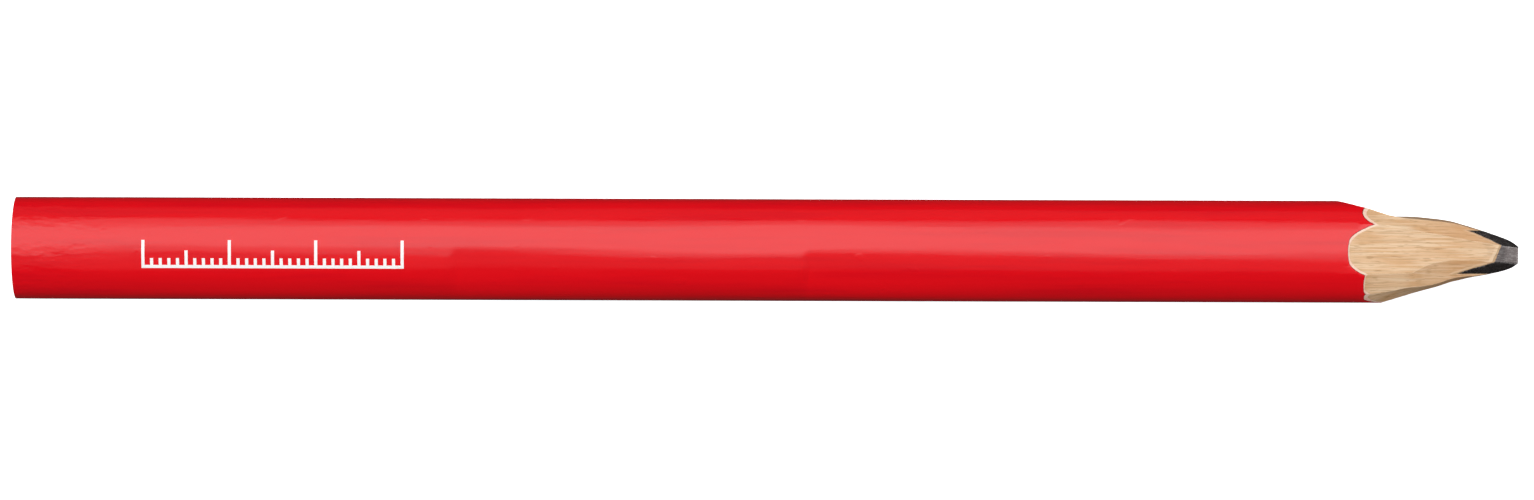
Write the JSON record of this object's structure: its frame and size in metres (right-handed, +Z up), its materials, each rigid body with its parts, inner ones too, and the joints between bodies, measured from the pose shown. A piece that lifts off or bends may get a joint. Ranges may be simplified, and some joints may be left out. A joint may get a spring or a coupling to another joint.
{
  "type": "carpenter pencil",
  "caption": "Flat-oval carpenter pencil, red lacquered wooden barrel, knife-cut wooden point with a flat chisel-tipped graphite lead, for marking timber and masonry.",
  "frame": {"origin": "centre of the bounding box's bottom face, on the surface that the pencil lies on", "axes": "+X along the pencil toward the point, +Y across the broad face, +Z up through the thickness"},
  "size_m": [0.175, 0.0118, 0.0074],
  "materials": {
    "bare_wood": "raw knife-cut wood, matte",
    "graphite": "fired graphite and clay, dull metallic sheen",
    "dried_glue": "dried wood glue, matte",
    "primer": "thin pale undercoat, matte",
    "red_lacquer": "glossy red lacquer",
    "white_print": "white printing ink, satin"
  },
  "bodies": {
    "root": {"upper_slat": "bare_wood", "lower_slat": "bare_wood", "graphite_lead": "graphite", "glue_film": "dried_glue", "primer_coat": "primer", "red_lacquer": "red_lacquer", "scale_print": "white_print"}
  },
  "joints": []
}
